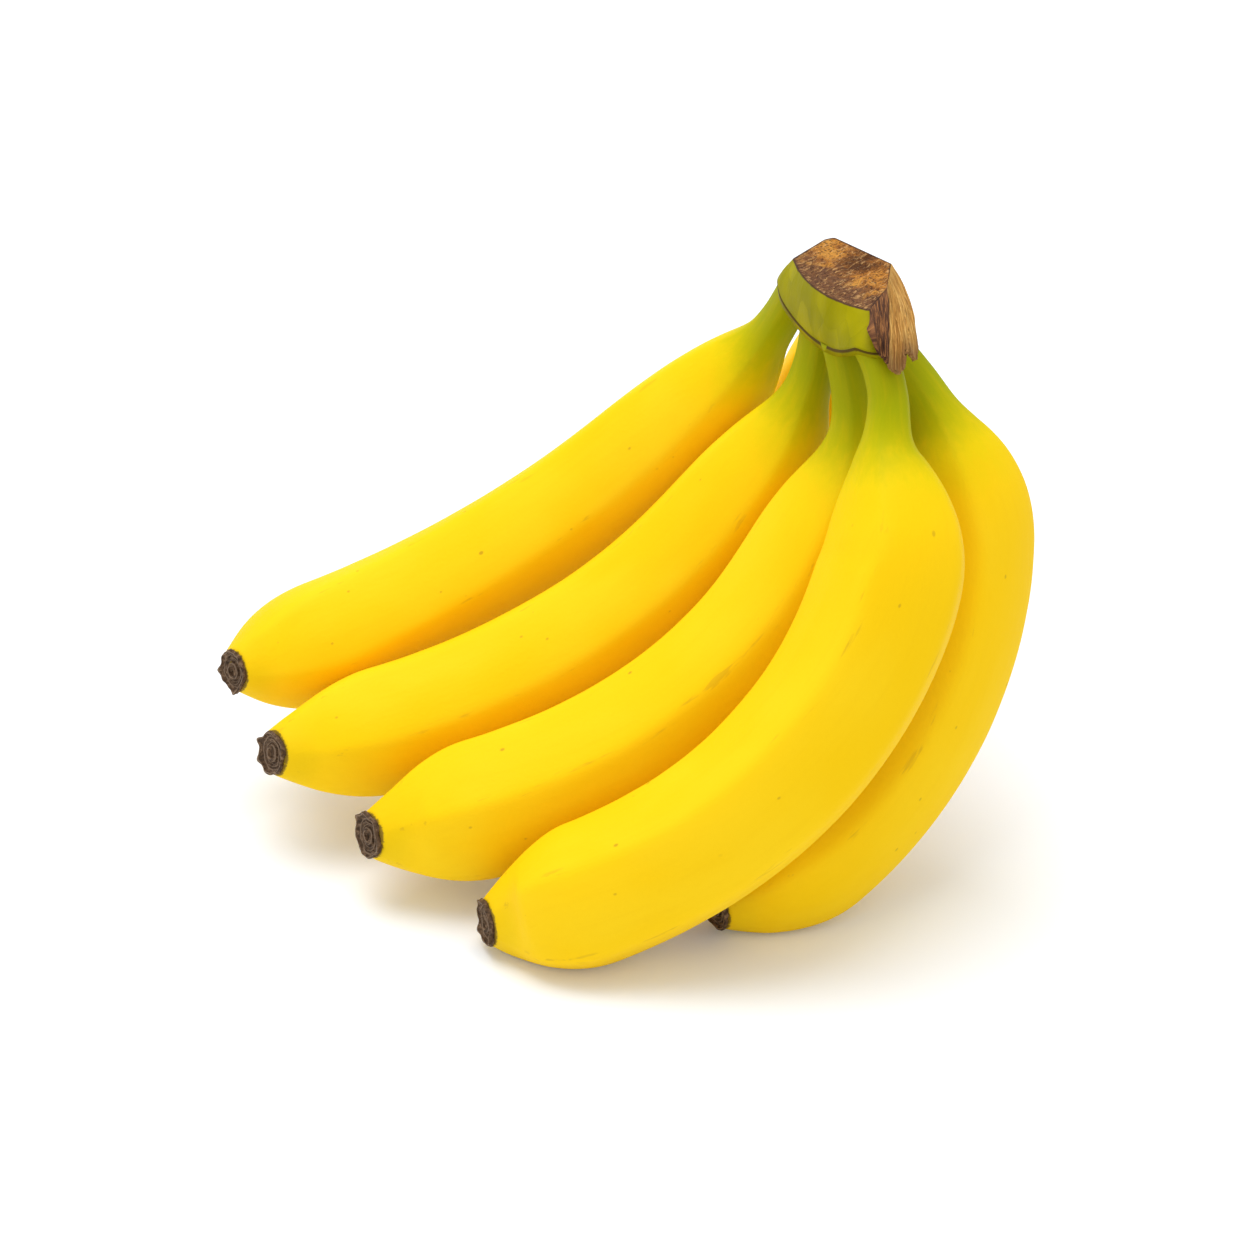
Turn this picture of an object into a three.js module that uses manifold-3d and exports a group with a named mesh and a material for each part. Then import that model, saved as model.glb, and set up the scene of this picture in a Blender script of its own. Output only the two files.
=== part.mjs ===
// A hand of six bananas that grew together, lying on the bellies of its fingers.
//
// Millimetres, +Z up. The plant's stalk would run along X through (y 0, z STALK_HEIGHT). Each finger
// leaves the crown away from that axis and bends round towards -X, so the blossom ends all point
// to -X. Two rows grow from the crown: four fingers in the inner row, two in the outer row.

import * as THREE from 'three';
import { ConvexGeometry } from 'three/addons/geometries/ConvexGeometry.js';
import { mergeVertices } from 'three/addons/utils/BufferGeometryUtils.js';
import Module from 'manifold-3d';

const wasm = await Module();
wasm.setup();

const DEGREE = Math.PI / 180;

// The stalk axis and where the fingers start.
const STALK_HEIGHT = 193;
const SEAT_RADIUS = 53.5; // from the stalk axis to the start of a finger's centre line
const INNER_ROW = 56;
const OUTER_ROW = 73;

// What all fingers share: a thin pedicel, a flare into the body, and a taper to the blossom end.
const PEDICEL_LENGTH = 19.5;
const SHOULDER_SOFTNESS = 5; // length over which the flare sets in
const PEDICEL_FOOT = 0.2; // how much wider the pedicel is where it meets the crown
const FOOT_LENGTH = 6;
const NECK_BEND = 10;
const NECK_LENGTH = 40;
const TIP_RADIUS = 5.8;
const TIP_TAPER = 31;
const TIP_FULLNESS = 0.9; // below 1 makes the end blunter
const SLANT_LENGTH = 16; // the end of the peel leans over this length
const RESTING_HEIGHT = 0.6; // the peel is cut flat here, where the hand's weight presses it
const RIDGES = 5;
const RIDGE_HEIGHT = 0.02; // share of the radius

// Where the stems sway to, and where the last part of a finger curls to.
const ASIDE = new THREE.Vector3(0.93, -0.367, 0);
const FRONT = new THREE.Vector3(-0.327, -0.829, 0.454);
const SWAY_NECK = 24;
const SWAY_FADE = 30;
const CURL_FROM = 0.72; // share of the length

// Each finger. Angles are in degrees, lengths in millimetres.
//   seat: where it grows, round the stalk axis      fan: the plane that it bends in
//   start: first direction, from straight out       bend: how far it turns towards -X
//   late: how much of the bend comes late           lean, swing: sideways at first, and along it
//   length: of the centre line                      girth: radius of the body
//   flare: length over which pedicel becomes body   row: X of its row
//   stem: radius of the pedicel                     sway: shift along ASIDE, at root and neck
//   curl: slope towards FRONT at the end            slant: how far the blossom end faces FRONT
const FINGERS = [
  { seat: -30, fan: -31.5, start: 0.5, bend: 98, late: 25, lean: -4.5, swing: 20.5, length: 210,
    girth: 17.3, flare: 69, row: INNER_ROW, stem: 4.8, sway: [0, 0], curl: 0, slant: -6 },
  { seat: -15, fan: -14.5, start: -3.5, bend: 81, late: -28, lean: 4.5, swing: -9, length: 202,
    girth: 17.4, flare: 60, row: INNER_ROW, stem: 4.8, sway: [0, 0], curl: 0.12, slant: 18 },
  { seat: 7, fan: 8.5, start: -14.5, bend: 88, late: -48.5, lean: -1, swing: -19, length: 197.5,
    girth: 18.5, flare: 53.5, row: INNER_ROW, stem: 5, sway: [0, 0], curl: 0.3, slant: 20 },
  { seat: 28, fan: 38.5, start: -17.15, bend: 106.5, late: -11, lean: -8.5, swing: -37, length: 200,
    girth: 19, flare: 49, row: INNER_ROW, stem: 5.2, sway: [3.4, -2.4], curl: 0.3, slant: 28 },
  { seat: 7, fan: 6.5, start: -36.85, bend: 104.5, late: -7.5, lean: 9.5, swing: -6, length: 177,
    girth: 18.5, flare: 40, row: OUTER_ROW, stem: 5.3, sway: [-0.5, -0.5], curl: 0, slant: 10 },
  { seat: -36.5, fan: -27, start: -33.85, bend: 100.5, late: 0, lean: 0, swing: 0, length: 202.5,
    girth: 19.5, flare: 36, row: OUTER_ROW, stem: 5.4, sway: [0, 0], curl: 0, slant: 8 },
];

// The blossom end: a dried disc with a raised rim round a small nub.
const BLOSSOM_RADIUS = 6;
const BLOSSOM_DEPTH = 2.8;
const BLOSSOM_SINK = 1.8; // the peel stops this far short of the centre line's end

// The crown: a cushion between a cut face above and an underside that is round about the stalk axis.
const CROWN_RADIUS = 49;
const CUT_HEIGHT = 159;
const UNDERSIDE_REACH = 28; // past this much Y, the underside stays level
const GAP = 0.35;
const FOOT_GAP = 0.7; // a little more under the crown, whose underside is faceted

// Outlines of the crown in X and Y, at the cut face and at the lower rim.
const CUT_OUTLINE = [[52.5, 21], [49.5, 8], [50, -6], [56.5, -18.5], [63.5, -13], [76.5, 9], [70, 33]];
const RIM_OUTLINE = [[52, 30], [49, 10], [49, -8], [54, -29], [64, -20], [77, -8], [74, 36]];

// The torn flap of dried stalk: its outer corners, and the corners where it joins the crown.
const FLAP_OUTSIDE = [
  [56.2, -18.9, 158.5], [63.4, -13.6, 158.5], [76.5, 9, 158.5], [57.4, -20.8, 155.5],
  [62.6, -19.8, 149], [66.4, -18.6, 141], [72.4, -17.8, 143.5], [77.5, -6, 152.5],
];
const FLAP_INSIDE = [[57, -16, 157], [63, -10, 155], [75, 6, 155]];

// Mesh density.
const SECTION_SIDES = 20;
const RING_SPACING = 7.5;
const CROWN_COLUMNS = 42;
const UNDERSIDE_RINGS = [0.8, 0.6, 0.4, 0.28, 0.2, 0.12, 0.04];

const PEEL = { color: 0xf3c614, roughness: 0.45, metalness: 0 };
const DRIED_BLOSSOM = { color: 0x3a2a1e, roughness: 0.9, metalness: 0 };
const CROWN_SKIN = { color: 0x9a9b1c, roughness: 0.55, metalness: 0 };

function smoothStep(x) {
  const t = THREE.MathUtils.clamp(x, 0, 1);
  return t * t * (3 - 2 * t);
}

// Radius of a finger at distance s along its centre line.
function radiusAt({ stem, girth, flare, length }, s) {
  const past = s - PEDICEL_LENGTH;
  const eased = (past + Math.hypot(past, SHOULDER_SOFTNESS)) / 2;
  const body = stem + (girth - stem) * (1 - (1 - Math.min(1, eased / flare)) ** 3);
  const toTip = THREE.MathUtils.clamp((length - s) / TIP_TAPER, 0, 1);
  const tipShare = TIP_RADIUS / girth;
  const foot = 1 + PEDICEL_FOOT * Math.max(0, 1 - s / FOOT_LENGTH);
  return body * foot * (tipShare + (1 - tipShare) * Math.sin((Math.PI / 2) * toTip) ** TIP_FULLNESS);
}

// The plane that a finger bends in: outward from the stalk, sideways, and towards the tips.
function fingerAxes(finger) {
  const fan = finger.fan * DEGREE;
  return {
    outward: new THREE.Vector3(0, -Math.sin(fan), -Math.cos(fan)),
    sideways: new THREE.Vector3(0, -Math.cos(fan), Math.sin(fan)),
    towardsTips: new THREE.Vector3(-1, 0, 0),
  };
}

// Direction of the main bend, before sway and curl.
function bendAt(finger, axes, s) {
  const share = s / finger.length;
  const turned = (finger.bend - finger.late) * share + finger.late * share ** 2;
  const turn = (finger.start + turned + NECK_BEND * smoothStep(s / NECK_LENGTH)) * DEGREE;
  const side = (finger.lean + finger.swing * share) * DEGREE;
  return new THREE.Vector3()
    .addScaledVector(axes.outward, Math.cos(side) * Math.cos(turn))
    .addScaledVector(axes.towardsTips, Math.cos(side) * Math.sin(turn))
    .addScaledVector(axes.sideways, Math.sin(side));
}

// Sway fades from root to neck to nothing. Curl grows as a square from CURL_FROM to the end.
function shiftAt({ sway: [root, neck], curl, length }, s) {
  const stemPart = THREE.MathUtils.lerp(root, neck, smoothStep(s / SWAY_NECK));
  const sway = stemPart * (1 - smoothStep((s - SWAY_NECK) / SWAY_FADE));
  const curled = Math.max(0, s - CURL_FROM * length);
  const lift = (curl * curled ** 2) / (2 * (1 - CURL_FROM) * length);
  return ASIDE.clone().multiplyScalar(sway).addScaledVector(FRONT, lift);
}

// Points and directions along a finger. The main bend is found by adding up its directions.
function centreLine(finger, steps) {
  const axes = fingerAxes(finger);
  const seat = finger.seat * DEGREE;
  const bent = new THREE.Vector3(
    finger.row,
    -SEAT_RADIUS * Math.sin(seat),
    STALK_HEIGHT - SEAT_RADIUS * Math.cos(seat),
  );
  const step = finger.length / steps;
  const line = [{ s: 0, point: bent.clone().add(shiftAt(finger, 0)) }];
  for (let i = 1; i <= steps; i += 1) {
    const s = i * step;
    bent.addScaledVector(bendAt(finger, axes, s - step / 2), step);
    line.push({ s, point: bent.clone().add(shiftAt(finger, s)) });
  }
  line.forEach((station, i) => {
    const before = line[Math.max(0, i - 1)].point;
    const after = line[Math.min(steps, i + 1)].point;
    station.direction = after.clone().sub(before).normalize();
  });
  return line;
}

// Which way the blossom end faces: the last direction, leaned towards FRONT.
function facingOf(finger, direction) {
  const lean = FRONT.clone().addScaledVector(direction, -FRONT.dot(direction)).normalize();
  return direction.clone().addScaledVector(lean, Math.tan(finger.slant * DEGREE)).normalize();
}

// How far to slide a point along a direction until it is the given distance from the stalk axis.
function slideToStalkRadius(point, direction, radius) {
  const y = point.y;
  const z = point.z - STALK_HEIGHT;
  const a = direction.y ** 2 + direction.z ** 2;
  const b = y * direction.y + z * direction.z;
  const c = y ** 2 + z ** 2 - radius ** 2;
  return (-b + Math.sqrt(Math.max(0, b * b - a * c))) / a;
}

function undersideAt(y) {
  const reach = Math.min(Math.abs(y), UNDERSIDE_REACH);
  return STALK_HEIGHT - Math.sqrt(CROWN_RADIUS ** 2 - reach ** 2);
}

// One closed ring of the peel, with its soft ridges. Near the end it leans with the blossom end.
function peelRing(finger, sideways, facing, { s, point, direction }) {
  const across = sideways.clone().addScaledVector(direction, -sideways.dot(direction)).normalize();
  const upright = new THREE.Vector3().crossVectors(direction, across);
  const radius = radiusAt(finger, s);
  const ridged = RIDGE_HEIGHT * smoothStep((s - PEDICEL_LENGTH) / finger.flare);
  const leaned = smoothStep((s - finger.length + BLOSSOM_SINK + SLANT_LENGTH) / SLANT_LENGTH);
  const ring = [];
  for (let i = 0; i < SECTION_SIDES; i += 1) {
    const angle = (2 * Math.PI * i) / SECTION_SIDES;
    const r = radius * (1 - ridged + ridged * Math.cos(RIDGES * angle));
    const spoke = new THREE.Vector3()
      .addScaledVector(across, r * Math.cos(angle))
      .addScaledVector(upright, r * Math.sin(angle));
    const p = point.clone().add(spoke);
    p.addScaledVector(direction, (-leaned * spoke.dot(facing)) / direction.dot(facing));
    const slide = slideToStalkRadius(p, direction, CROWN_RADIUS + FOOT_GAP);
    p.addScaledVector(direction, slide * Math.max(0, 1 - s / FOOT_LENGTH));
    p.z = Math.min(p.z, undersideAt(p.y) - FOOT_GAP);
    ring.push(p);
  }
  return ring;
}

// A closed solid from rings of equal length, with a point in the middle of each end.
function solidFromRings(rings, firstCentre, lastCentre) {
  const sides = rings[0].length;
  const points = [firstCentre, ...rings.flat(), lastCentre];
  const faces = [];
  const index = (ring, side) => 1 + ring * sides + (side % sides);
  for (let i = 0; i < sides; i += 1) {
    faces.push(0, index(0, i + 1), index(0, i));
    faces.push(points.length - 1, index(rings.length - 1, i), index(rings.length - 1, i + 1));
  }
  for (let ring = 0; ring + 1 < rings.length; ring += 1) {
    for (let i = 0; i < sides; i += 1) {
      faces.push(index(ring, i), index(ring, i + 1), index(ring + 1, i + 1));
      faces.push(index(ring, i), index(ring + 1, i + 1), index(ring + 1, i));
    }
  }
  const geometry = new THREE.BufferGeometry();
  const positions = points.flatMap((p) => p.toArray());
  geometry.setAttribute('position', new THREE.Float32BufferAttribute(positions, 3));
  geometry.setIndex(faces);
  return geometry;
}

function fingerGeometry(finger) {
  const { sideways } = fingerAxes(finger);
  const line = centreLine(finger, Math.round((finger.length - BLOSSOM_SINK) / RING_SPACING) * 8);
  const peel = line.filter(({ s }, i) => i % 8 === 0 && s < finger.length - BLOSSOM_SINK - 2);
  const end = line.at(-1);
  const stop = {
    s: finger.length - BLOSSOM_SINK,
    point: end.point.clone().addScaledVector(end.direction, -BLOSSOM_SINK),
    direction: end.direction,
  };
  const start = line[0].point.clone();
  start.addScaledVector(
    line[0].direction,
    slideToStalkRadius(start, line[0].direction, CROWN_RADIUS + FOOT_GAP),
  );
  start.z = Math.min(start.z, undersideAt(start.y) - FOOT_GAP);
  const facing = facingOf(finger, end.direction);
  const rings = [...peel, stop].map((station) => peelRing(finger, sideways, facing, station));
  return solidFromRings(rings, start, stop.point);
}

// The dried disc is turned on its own axis, then set on the end of the finger.
function blossomGeometry() {
  const profile = [
    [0, 0],
    [BLOSSOM_RADIUS * 0.9, 0],
    [BLOSSOM_RADIUS, 1.2],
    [BLOSSOM_RADIUS * 0.92, BLOSSOM_DEPTH],
    [BLOSSOM_RADIUS * 0.7, BLOSSOM_DEPTH],
    [BLOSSOM_RADIUS * 0.5, BLOSSOM_DEPTH - 1],
    [BLOSSOM_RADIUS * 0.28, BLOSSOM_DEPTH - 0.8],
    [0, BLOSSOM_DEPTH + 0.2],
  ];
  const geometry = new THREE.LatheGeometry(profile.map(([x, y]) => new THREE.Vector2(x, y)), 16);
  geometry.rotateX(Math.PI / 2);
  return geometry;
}

function placeBlossom(mesh, finger) {
  const { point, direction } = centreLine(finger, 200).at(-1);
  const facing = facingOf(finger, direction);
  mesh.position.copy(point).addScaledVector(direction, -BLOSSOM_SINK).addScaledVector(facing, GAP);
  mesh.quaternion.setFromUnitVectors(new THREE.Vector3(0, 0, 1), facing);
}

function closedOutline(corners) {
  const curve = new THREE.CatmullRomCurve3(
    corners.map(([x, y]) => new THREE.Vector3(x, y, 0)),
    true,
  );
  return Array.from({ length: CROWN_COLUMNS }, (_, i) => curve.getPoint(i / CROWN_COLUMNS));
}

function crownCushion() {
  const cut = closedOutline(CUT_OUTLINE);
  const rim = closedOutline(RIM_OUTLINE);
  const middle = rim.reduce((sum, p) => sum.add(p), new THREE.Vector3()).divideScalar(rim.length);
  const onUnderside = (p) => new THREE.Vector3(p.x, p.y, undersideAt(p.y));
  const rings = [
    ...UNDERSIDE_RINGS.map((share) => rim.map((p) => onUnderside(p.clone().lerp(middle, share)))),
    rim.map((p) => new THREE.Vector3(p.x, p.y, undersideAt(p.y) + 1.2)),
    cut.map((p) => new THREE.Vector3(p.x, p.y, CUT_HEIGHT)),
  ];
  const top = new THREE.Vector3(middle.x, middle.y, CUT_HEIGHT);
  return solidFromRings(rings, onUnderside(middle), top);
}

function tornFlap() {
  return new ConvexGeometry([...FLAP_OUTSIDE, ...FLAP_INSIDE].map((p) => new THREE.Vector3(...p)));
}

function toManifold(geometry) {
  const bare = geometry.clone();
  bare.deleteAttribute('normal');
  bare.deleteAttribute('uv');
  const merged = mergeVertices(bare, 1e-4);
  return new wasm.Manifold(new wasm.Mesh({
    numProp: 3,
    vertProperties: merged.attributes.position.array,
    triVerts: new Uint32Array(merged.index.array),
  }));
}

function fromManifold(solid) {
  const mesh = solid.getMesh();
  const geometry = new THREE.BufferGeometry();
  geometry.setAttribute('position', new THREE.BufferAttribute(mesh.vertProperties, 3));
  geometry.setIndex(new THREE.BufferAttribute(mesh.triVerts, 1));
  return geometry;
}

// Everything below the surface that the hand rests on.
function belowSurface() {
  const size = 2 * STALK_HEIGHT;
  const geometry = new THREE.BoxGeometry(size, size, size);
  geometry.translate(0, 0, RESTING_HEIGHT - size / 2);
  return toManifold(geometry);
}

function namedMesh(name, geometry, surface) {
  const mesh = new THREE.Mesh(geometry, new THREE.MeshStandardMaterial(surface));
  mesh.name = name;
  return mesh;
}

const hand = new THREE.Group();
const crown = toManifold(crownCushion()).add(toManifold(tornFlap()));
hand.add(namedMesh('crown', fromManifold(crown), CROWN_SKIN));
const surface = belowSurface();
FINGERS.forEach((finger, i) => {
  const pressed = toManifold(fingerGeometry(finger)).subtract(surface);
  hand.add(namedMesh(`banana_${i + 1}`, fromManifold(pressed), PEEL));
  const blossom = namedMesh(`blossom_end_${i + 1}`, blossomGeometry(), DRIED_BLOSSOM);
  placeBlossom(blossom, finger);
  hand.add(blossom);
});

// Origin: middle of the bounding box's underside, on the floor.
const box = new THREE.Box3().setFromObject(hand, true);
const centre = box.getCenter(new THREE.Vector3());
hand.position.set(-centre.x, -centre.y, -box.min.z);

export default hand;
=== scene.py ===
import math

import bpy
import numpy as np
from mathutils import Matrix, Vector


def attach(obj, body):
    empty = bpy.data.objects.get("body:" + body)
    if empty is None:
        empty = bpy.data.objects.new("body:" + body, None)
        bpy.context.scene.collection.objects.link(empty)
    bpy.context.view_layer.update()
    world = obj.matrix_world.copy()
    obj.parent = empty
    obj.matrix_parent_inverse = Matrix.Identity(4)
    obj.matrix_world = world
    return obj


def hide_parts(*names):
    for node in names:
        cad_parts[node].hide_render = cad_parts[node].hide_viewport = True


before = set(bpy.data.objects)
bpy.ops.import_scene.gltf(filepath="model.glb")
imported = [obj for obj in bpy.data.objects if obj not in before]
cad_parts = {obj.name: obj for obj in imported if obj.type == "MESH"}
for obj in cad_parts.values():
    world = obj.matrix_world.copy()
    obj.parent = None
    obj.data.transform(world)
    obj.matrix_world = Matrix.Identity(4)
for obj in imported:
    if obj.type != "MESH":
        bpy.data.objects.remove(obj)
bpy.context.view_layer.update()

MM = 0.001
TURN = 2 * math.pi

# ---------------------------------------------------------------- the hand of bananas, in millimetres

# The stalk axis runs along X through (y 0, z STALK_HEIGHT). HAND_CENTRE is the frame's origin,
# written in the hand's own coordinates.
HAND_CENTRE = np.array([5.7639, 22.6271, 0.6])
STALK_HEIGHT = 193.0
SEAT_RADIUS = 53.5
CROWN_RADIUS = 49.0
RIM_TOP = 152.2
UNDERSIDE_REACH = 28.0  # past this much Y, the crown's underside stays level
INNER_ROW = 56.0
OUTER_ROW = 73.0

PEDICEL_LENGTH = 19.5
SHOULDER_SOFTNESS = 5.0
FOOT_LENGTH = 6.0
NECK_BEND = 10.0
NECK_LENGTH = 40.0
TIP_RADIUS = 5.8
TIP_TAPER = 31.0
TIP_FULLNESS = 0.9
SLANT_LENGTH = 16.0
PINCH = 0.12  # share of the radius that is drawn in at the root and at the tip
ROOT_PINCH_LENGTH = 6.0
TIP_PINCH_LENGTH = 4.0
ROOT_SINK = 2.2  # how far the roots reach into the crown
ROOT_LIFT = 2.0  # how far they may stand above its underside
ROOT_BELOW_RIM = 0.9
BLOSSOM_SINK = 0.2
BLOSSOM_RADIUS = 5.6

# Where the stems sway to, and where the last part of a finger curls to.
ASIDE = np.array([0.93, -0.367, 0])
FRONT = np.array([-0.327, -0.829, 0.454])
SWAY_NECK = 24.0
SWAY_FADE = 30.0
CURL_FROM = 0.72

# Angles in degrees. seat, fan: where it grows and the plane it bends in. start, bend, late: first
# direction, turn towards -X, and how much of it comes late. lean, swing: sideways, at first and
# along it. sway: shift along ASIDE at root and neck. curl, slant: the end's turn towards FRONT.
# ridge, twist: where the first ridge runs round the body, and how far it drifts.
FINGERS = [
    dict(seat=-30, fan=-31.5, start=0.5, bend=98, late=25, lean=-4.5, swing=20.5, length=210,
         girth=17.6, flare=66, row=INNER_ROW, stem=5.3, sway=(0.6, 0), curl=0, slant=-6,
         ridge=49, twist=-13),
    dict(seat=-15, fan=-14.5, start=-3.5, bend=81, late=-28, lean=4.5, swing=-9, length=202,
         girth=17.4, flare=57, row=INNER_ROW, stem=5.5, sway=(2.4, 1.4), curl=0.12, slant=18,
         ridge=30, twist=3),
    dict(seat=7, fan=8.5, start=-14.5, bend=88, late=-48.5, lean=-1, swing=-19, length=197.5,
         girth=18.5, flare=51, row=INNER_ROW, stem=5.7, sway=(1.5, 1.0), curl=0.3, slant=20,
         ridge=34, twist=-7),
    dict(seat=28, fan=38.5, start=-17.15, bend=106.5, late=-11, lean=-8.5, swing=-37, length=201.3,
         girth=19, flare=48, row=INNER_ROW, stem=4.9, sway=(1.6, -3.4), curl=0.3, slant=28,
         ridge=38, twist=-22),
    dict(seat=7, fan=6.5, start=-36.85, bend=104.5, late=-7.5, lean=9.5, swing=-6, length=177,
         girth=18.6, flare=38, row=OUTER_ROW, stem=6.1, sway=(-2.4, -2.4), curl=0, slant=10,
         ridge=7, twist=15),
    dict(seat=-36.5, fan=-27, start=-33.85, bend=100.5, late=0, lean=0, swing=0, length=202.5,
         girth=19.5, flare=44, row=OUTER_ROW, stem=5.4, sway=(0, 0), curl=0, slant=8,
         ridge=26, twist=8),
]

RIDGES = 5
STEM_RIDGE = 0.26  # how strongly the ridges stand out on the pedicel
BODY_RIDGE = 0.28  # how much more they do on the body
MEAN_CREST = 0.925  # the pentagon's reach that leaves the radius as it is
BODY_FROM = 0.6  # share of the pedicel where the body starts to show
BODY_WITHIN = 30
RING_STEP = 0.9
PEEL_SIDES = 110


def smooth_step(x):
    """0 below 0, 1 above 1, and three squares less two cubes between."""
    t = np.clip(x, 0, 1)
    return t * t * (3 - 2 * t)


def unit(v):
    """Vectors divided by their lengths."""
    return v / np.linalg.norm(v, axis=-1, keepdims=True)


def soft_noise(points, cell, seed):
    """Smooth random waves from -1 to 1: seeded values on a lattice of the given cell, eased between."""
    table = np.random.default_rng(seed).uniform(-1, 1, (32, 32, 32))
    q = np.asarray(points, float) / cell
    low = np.floor(q).astype(int)
    t = q - low
    t = t * t * (3 - 2 * t)
    total = np.zeros(q.shape[:-1])
    for corner in np.ndindex(2, 2, 2):
        weight = np.prod(np.where(corner, t, 1 - t), axis=-1)
        i, j, k = np.moveaxis((low + corner) % 32, -1, 0)
        total += weight * table[i, j, k]
    return total


def make_piece(name, points, faces, fields, finishes, finish_of_face=None):
    """A smooth mesh in the row frame, from points in the hand's millimetres, with values at its points."""
    mesh = bpy.data.meshes.new(name)
    mesh.from_pydata(((points - HAND_CENTRE) * MM).tolist(), [], faces)
    mesh.polygons.foreach_set("use_smooth", np.ones(len(faces), bool))
    for field, values in fields.items():
        values = np.asarray(values, np.float32)
        kind, slot = ("FLOAT", "value") if values.ndim == 1 else ("FLOAT_VECTOR", "vector")
        mesh.attributes.new(field, kind, "POINT").data.foreach_set(slot, values.ravel())
    for finish in finishes:
        mesh.materials.append(finish)
    if finish_of_face is not None:
        mesh.polygons.foreach_set("material_index", np.asarray(finish_of_face, np.int32))
    piece = bpy.data.objects.new(name, mesh)
    bpy.context.scene.collection.objects.link(piece)
    return piece


def shell_faces(rows, columns):
    """Faces of a closed shell of rings: quads between rings, and a fan at each pole, the last two points."""
    i = np.arange(rows * columns).reshape(rows, columns)
    j = np.roll(i, -1, axis=1)
    quads = np.stack([i[:-1], j[:-1], j[1:], i[1:]], axis=-1).reshape(-1, 4)
    first, last = rows * columns, rows * columns + 1
    start = np.stack([np.full(columns, first), j[0], i[0]], axis=-1)
    end = np.stack([np.full(columns, last), i[-1], j[-1]], axis=-1)
    return quads.tolist() + start.tolist() + end.tolist()


def with_poles(values, first, last):
    """Ring values as one list, with the values of the two poles after them."""
    values = np.asarray(values, float)
    flat = values.reshape(-1, values.shape[-1]) if values.ndim == 3 else values.reshape(-1)
    return np.concatenate([flat, [first], [last]])


# ---------------------------------------------------------------- peel

def finger_axes(finger):
    """Outward from the stalk, sideways across the fan, and towards the tips: three square directions."""
    fan = math.radians(finger["fan"])
    outward = np.array([0, -math.sin(fan), -math.cos(fan)])
    sideways = np.array([0, -math.cos(fan), math.sin(fan)])
    return outward, sideways, np.array([-1.0, 0, 0])


def bend_at(finger, s):
    """The main bend's direction: it turns from outward towards the tips and swings sideways."""
    outward, sideways, to_tips = finger_axes(finger)
    share = s / finger["length"]
    turned = (finger["bend"] - finger["late"]) * share + finger["late"] * share ** 2
    turn = np.radians(finger["start"] + turned + NECK_BEND * smooth_step(s / NECK_LENGTH))[:, None]
    side = np.radians(finger["lean"] + finger["swing"] * share)[:, None]
    return np.cos(side) * (np.cos(turn) * outward + np.sin(turn) * to_tips) + np.sin(side) * sideways


def shift_at(finger, s):
    """Sway fades from root to neck to nothing. Curl grows as a square from CURL_FROM to the end."""
    root, neck = finger["sway"]
    length = finger["length"]
    eased = root + (neck - root) * smooth_step(s / SWAY_NECK)
    sway = eased * (1 - smooth_step((s - SWAY_NECK) / SWAY_FADE))
    curled = np.maximum(0, s - CURL_FROM * length)
    lift = finger["curl"] * curled ** 2 / (2 * (1 - CURL_FROM) * length)
    return sway[:, None] * ASIDE + lift[:, None] * FRONT


def centre_line(finger, s):
    """Points and directions of the centre line: the seat, plus the sum of the bend, plus the shift."""
    seat = math.radians(finger["seat"])
    root = np.array([finger["row"], -SEAT_RADIUS * math.sin(seat),
                     STALK_HEIGHT - SEAT_RADIUS * math.cos(seat)])
    steps = np.linspace(0, finger["length"], 801)
    middles = (steps[1:] + steps[:-1]) / 2
    sums = np.cumsum(bend_at(finger, middles) * (steps[1] - steps[0]), axis=0)
    path = root + np.vstack([np.zeros(3), sums]) + shift_at(finger, steps)
    directions = unit(np.gradient(path, axis=0))

    def at(values):
        return np.stack([np.interp(s, steps, values[:, axis]) for axis in range(3)], axis=-1)

    return at(path), unit(at(directions))


def facing_of(finger, direction):
    """Which way the blossom end faces: the last direction, leaned towards FRONT."""
    lean = unit(FRONT - (FRONT @ direction) * direction)
    return unit(direction + math.tan(math.radians(finger["slant"])) * lean)


def radius_at(finger, s):
    """Pedicel radius, flaring as a cube into the girth, drawn in at the foot, and rounded off to the tip."""
    girth, stem = finger["girth"], finger["stem"]
    past = s - PEDICEL_LENGTH
    eased = (past + np.hypot(past, SHOULDER_SOFTNESS)) / 2
    body = stem + (girth - stem) * (1 - (1 - np.clip(eased / finger["flare"], 0, 1)) ** 3)
    left = finger["length"] - s
    rise = np.sin(math.pi / 2 * np.clip(left / TIP_TAPER, 0, 1)) ** TIP_FULLNESS
    rise = rise * (1 - PINCH * np.exp(-left / TIP_PINCH_LENGTH))
    share = TIP_RADIUS / girth
    foot = 1 - PINCH * np.exp(-s / ROOT_PINCH_LENGTH)
    return body * foot * (share + (1 - share) * rise)


def pentagon(angle, hardness=16):
    """1 at the ridges and less between: a rounded pentagon, from the power mean of its sides' distances."""
    sides = (np.arange(RIDGES) + 0.5) * TURN / RIDGES
    reach = (np.maximum(0, np.cos(angle[..., None] - sides)) ** hardness).sum(axis=-1) ** (-1 / hardness)
    corner = (2 * math.cos(math.pi / RIDGES) ** hardness) ** (-1 / hardness)
    return reach / corner


def section_axes(finger, directions):
    """Across and upright: two unit vectors square to the centre line."""
    sideways = finger_axes(finger)[1]
    across = unit(sideways - (directions @ sideways)[:, None] * directions)
    return across, np.cross(directions, across)


def slide_to_stalk(points, directions, radius):
    """How far each point slides along its direction to a radius from the stalk axis: the far root."""
    y, z = points[..., 1], points[..., 2] - STALK_HEIGHT
    a = directions[..., 1] ** 2 + directions[..., 2] ** 2
    b = y * directions[..., 1] + z * directions[..., 2]
    c = y ** 2 + z ** 2 - radius ** 2
    return (-b + np.sqrt(np.maximum(0, b * b - a * c))) / a


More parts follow.
